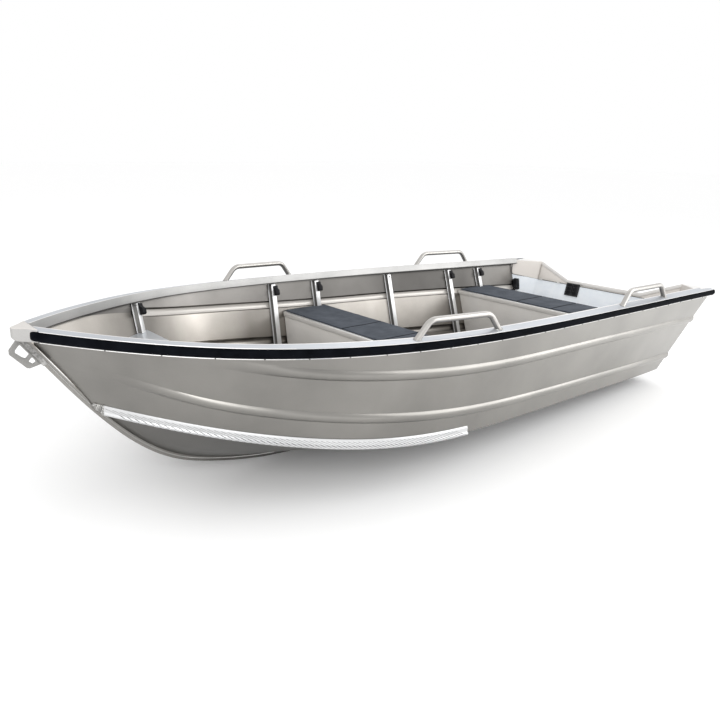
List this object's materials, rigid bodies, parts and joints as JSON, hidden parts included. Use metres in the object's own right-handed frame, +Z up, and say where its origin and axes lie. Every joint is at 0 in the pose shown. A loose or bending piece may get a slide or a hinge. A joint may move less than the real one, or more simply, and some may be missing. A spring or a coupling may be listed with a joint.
{
  "type": "open aluminium rowing boat",
  "caption": "Open V-bottom aluminium rowing boat with padded thwarts, grab handles, rub rails and a motor cut-out.",
  "frame": {"origin": "on the centre line at the waterline, near the middle of the length", "axes": "+X to the bow, +Y to port, +Z up"},
  "size_m": [3.7639, 1.5056, 0.7573],
  "materials": {
    "hull_sheet": "satin sheet",
    "hull_trim": "bright extrusion",
    "cast_fitting": "cast and plate",
    "inner_metal": "mill sheet",
    "rail_rubber": "satin",
    "handle_tube": "brushed tube",
    "seat_foam": "closed-cell foam",
    "board": "painted board",
    "black_plastic": "moulded"
  },
  "bodies": {
    "root": {"side_panel_port": "hull_sheet", "side_panel_starboard": "hull_sheet", "bottom_panel_port": "hull_sheet", "bottom_panel_starboard": "hull_sheet", "transom": "hull_sheet", "gunwale_port": "hull_trim", "gunwale_starboard": "hull_trim", "chine_strip_port": "hull_trim", "chine_strip_starboard": "hull_trim", "keel_bar": "hull_trim", "transom_cap": "hull_trim", "bow_casting": "cast_fitting", "bow_eye_plate": "cast_fitting", "stem_channel": "cast_fitting", "bow_post_port": "inner_metal", "bow_post_starboard": "inner_metal", "front_thwart_fore_post_port": "inner_metal", "front_thwart_fore_post_starboard": "inner_metal", "front_thwart_post_port": "inner_metal", "front_thwart_post_starboard": "inner_metal", "middle_post_port": "inner_metal", "middle_post_starboard": "inner_metal", "aft_thwart_fore_post_port": "inner_metal", "aft_thwart_fore_post_starboard": "inner_metal", "aft_thwart_post_port": "inner_metal", "aft_thwart_post_starboard": "inner_metal", "bottom_ribs": "inner_metal", "front_thwart_box": "inner_metal", "aft_thwart_box": "inner_metal", "stern_knee_port": "inner_metal", "stern_knee_starboard": "inner_metal", "front_thwart_seat": "inner_metal", "aft_thwart_seat": "inner_metal", "bow_locker_box": "inner_metal", "bow_deck": "inner_metal", "rub_rail_port": "rail_rubber", "rub_rail_starboard": "rail_rubber", "rail_end_cap_port": "rail_rubber", "rail_end_cap_starboard": "rail_rubber", "front_handle_port": "handle_tube", "front_handle_starboard": "handle_tube", "aft_handle_port": "handle_tube", "aft_handle_starboard": "handle_tube", "front_pad_1": "seat_foam", "front_pad_2": "seat_foam", "front_pad_3": "seat_foam", "front_pad_4": "seat_foam", "aft_pad_1": "seat_foam", "aft_pad_2": "seat_foam", "aft_pad_3": "seat_foam", "aft_pad_4": "seat_foam", "transom_board": "board", "motor_pad": "black_plastic", "post_hooks_port": "black_plastic", "post_hooks_starboard": "black_plastic", "corner_bracket_port": "black_plastic", "corner_bracket_starboard": "black_plastic"}
  },
  "joints": []
}
